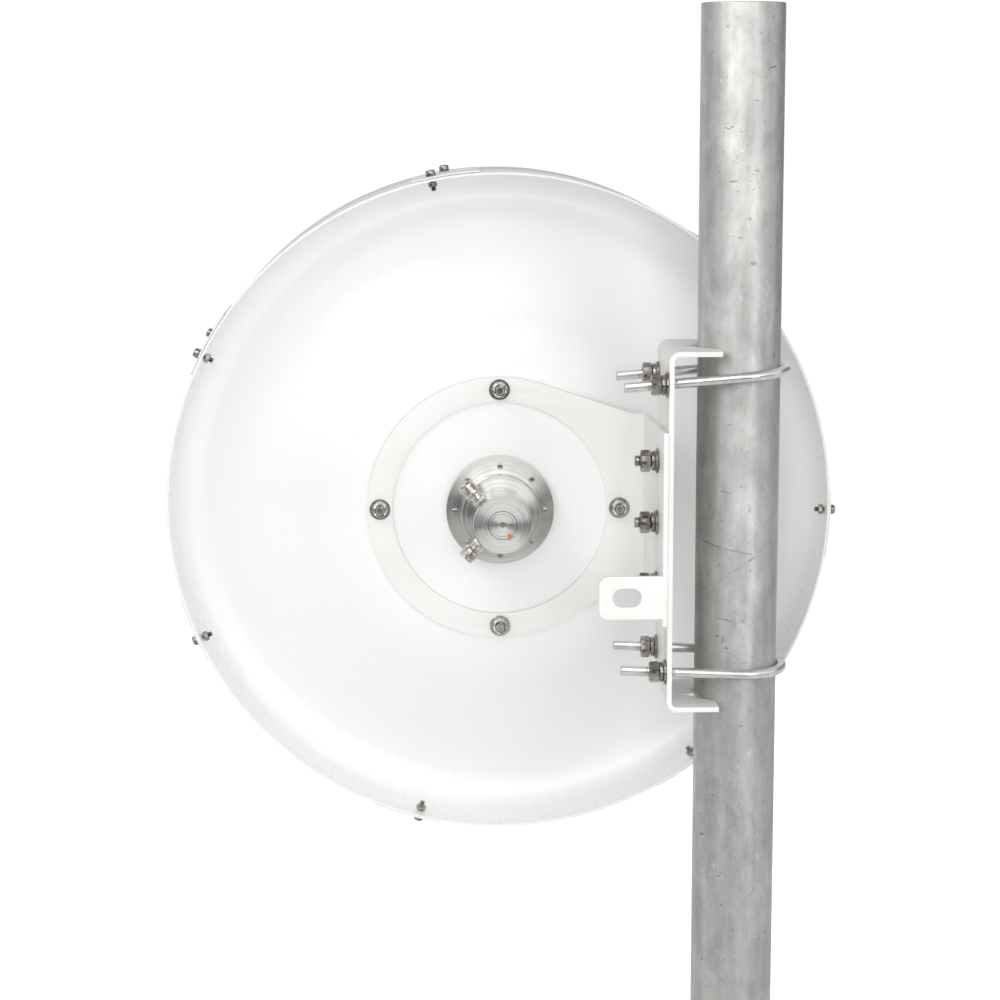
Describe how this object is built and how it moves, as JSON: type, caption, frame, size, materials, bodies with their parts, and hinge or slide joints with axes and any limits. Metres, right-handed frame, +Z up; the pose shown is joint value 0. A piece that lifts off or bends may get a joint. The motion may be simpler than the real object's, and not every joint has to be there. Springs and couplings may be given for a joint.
{
  "type": "microwave dish antenna",
  "caption": "Round microwave dish with covered front and turned feed hub, on a bent bracket clamped to a galvanised pole with U-bolts.",
  "frame": {"origin": "middle of the underside of the pole's foot plate, on the pole's axis", "axes": "+Z up the pole, +Y the way the dish points, +X to the right as seen from behind the dish"},
  "size_m": [0.6342, 0.408, 1.062],
  "materials": {
    "galvanised": "hot-dip galvanised, dull and mottled",
    "white_sheet": "satin powder coat on steel sheet",
    "white_shell": "glossy white coat on spun metal",
    "radome_plastic": "moulded white plastic",
    "stainless": "plain stainless hardware",
    "bright_zinc": "bright plated rod",
    "turned_aluminium": "fine turned rings",
    "nickel": "nickel-plated brass"
  },
  "bodies": {
    "mast": {"pole": "galvanised"},
    "clamp": {"clamp_channel": "white_sheet", "u_bolt_upper": "bright_zinc", "u_bolt_lower": "bright_zinc", "u_bolt_nut_upper_near": "stainless", "u_bolt_nut_upper_far": "stainless", "u_bolt_nut_lower_near": "stainless", "u_bolt_nut_lower_far": "stainless", "pivot_bolt": "stainless", "slot_bolt_upper": "stainless", "slot_bolt_lower": "stainless", "bracket_nut_middle": "stainless", "bracket_nut_upper": "stainless", "bracket_nut_lower": "stainless"},
    "dish": {"dish_bracket": "white_sheet", "ring_bolt_right": "stainless", "ring_bolt_top": "stainless", "ring_bolt_left": "stainless", "ring_bolt_bottom": "stainless", "reflector": "white_shell", "radome": "radome_plastic", "rim_strap_1": "white_shell", "rim_strap_2": "white_shell", "rim_strap_3": "white_shell", "rim_strap_4": "white_shell", "rim_strap_5": "white_shell", "rim_strap_6": "white_shell", "rim_strap_7": "white_shell", "rim_screw_1": "stainless", "rim_screw_2": "stainless", "rim_screw_3": "stainless", "rim_screw_4": "stainless", "rim_screw_5": "stainless", "rim_screw_6": "stainless", "rim_screw_7": "stainless", "feed_flange": "turned_aluminium", "feed_collar": "turned_aluminium", "feed_body": "turned_aluminium", "feed_cap": "turned_aluminium", "feed_tube": "turned_aluminium", "splash_plate": "turned_aluminium", "connector_upper": "nickel", "connector_lower": "nickel"}
  },
  "joints": [
    {"name": "swivel", "type": "hinge", "parent": "mast", "child": "clamp", "pos_m": [0, 0, 0.6092], "axis": [0, 0, 1], "range_deg": [-90, 90]},
    {"name": "tilt", "type": "hinge", "parent": "clamp", "child": "dish", "pos_m": [0, 0, 0.6092], "axis": [1, 0, 0], "range_deg": [-10, 10]}
  ]
}
